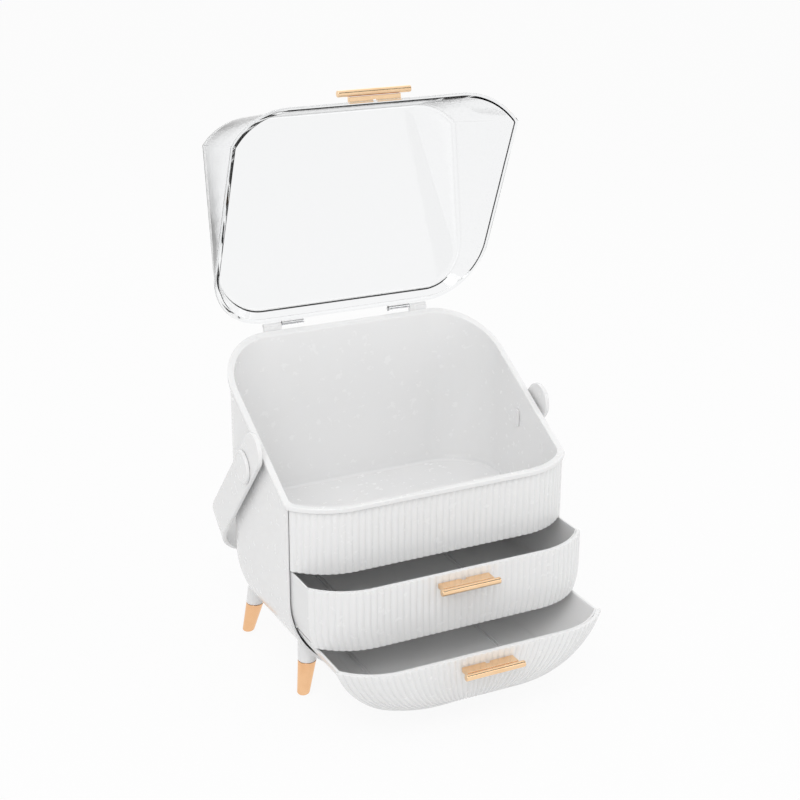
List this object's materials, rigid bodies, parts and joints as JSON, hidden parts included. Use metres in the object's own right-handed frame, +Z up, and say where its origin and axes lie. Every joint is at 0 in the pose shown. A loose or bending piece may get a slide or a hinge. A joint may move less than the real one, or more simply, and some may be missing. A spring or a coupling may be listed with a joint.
{
  "type": "dustproof makeup organizer",
  "caption": "Free-standing cosmetic box on splayed legs, with a hinged clear lid over a slanted bin, fluted drawers and a swinging carry strap.",
  "frame": {"origin": "centre of the bounding box at rest, on the plane under the feet", "axes": "+X to the right side of the box, +Y to its rear, +Z up; the drawers open toward -Y"},
  "size_m": [0.3002, 0.3302, 0.5208],
  "materials": {
    "white_body": "glossy white moulded plastic",
    "clear_lid": "clear polished plastic",
    "gold_trim": "polished warm gold plating",
    "steel_fasteners": "plain steel"
  },
  "bodies": {
    "body": {"body_shell": "white_body", "bin_tray": "white_body", "front_band": "white_body", "drawer_shelf": "white_body", "lower_runner_left": "white_body", "lower_runner_right": "white_body", "leg_front_left": "white_body", "leg_tip_front_left": "gold_trim", "leg_stud_front_left": "steel_fasteners", "leg_front_right": "white_body", "leg_tip_front_right": "gold_trim", "leg_stud_front_right": "steel_fasteners", "leg_rear_left": "white_body", "leg_tip_rear_left": "gold_trim", "leg_stud_rear_left": "steel_fasteners", "leg_rear_right": "white_body", "leg_tip_rear_right": "gold_trim", "leg_stud_rear_right": "steel_fasteners", "hinge_bracket_left": "white_body", "hinge_pin_left": "steel_fasteners", "pivot_cap_left": "white_body", "pivot_washer_left": "white_body", "pivot_clip_left": "white_body", "hinge_bracket_right": "white_body", "hinge_pin_right": "steel_fasteners", "pivot_cap_right": "white_body", "pivot_washer_right": "white_body", "pivot_clip_right": "white_body"},
    "lid": {"lid_shell": "clear_lid", "lid_hinge_leaf_left": "clear_lid", "lid_hinge_leaf_right": "clear_lid", "lid_pull_bar": "gold_trim", "lid_pull_plate": "gold_trim"},
    "upper_drawer": {"upper_drawer_front": "white_body", "upper_drawer_tray": "white_body", "upper_pull_bar": "gold_trim", "upper_pull_plate": "gold_trim", "upper_pull_screw_left": "steel_fasteners", "upper_pull_screw_right": "steel_fasteners"},
    "lower_drawer": {"lower_drawer_front": "white_body", "lower_drawer_tray": "white_body", "lower_pull_bar": "gold_trim", "lower_pull_plate": "gold_trim", "lower_pull_screw_left": "steel_fasteners", "lower_pull_screw_right": "steel_fasteners"},
    "carry_handle": {"carry_strap": "white_body"}
  },
  "joints": [
    {"name": "lid_hinge", "type": "hinge", "parent": "body", "child": "lid", "pos_m": [0, 0.13405, 0.296], "axis": [1, 0, 0], "range_deg": [0, 98]},
    {"name": "handle_swing", "type": "hinge", "parent": "body", "child": "carry_handle", "pos_m": [0, 0.03485, 0.2035], "axis": [1, 0, 0], "range_deg": [0, 138.1]},
    {"name": "upper_drawer_slide", "type": "slide", "parent": "body", "child": "upper_drawer", "axis": [0, -1, 0], "range_m": [-0.0359, 0.06]},
    {"name": "lower_drawer_slide", "type": "slide", "parent": "body", "child": "lower_drawer", "axis": [0, -1, 0], "range_m": [-0.0829, 0.03]}
  ],
  "couplings": [
    {"joint": "handle_swing", "follows": "lid_hinge", "ratio": 1.4082}
  ]
}
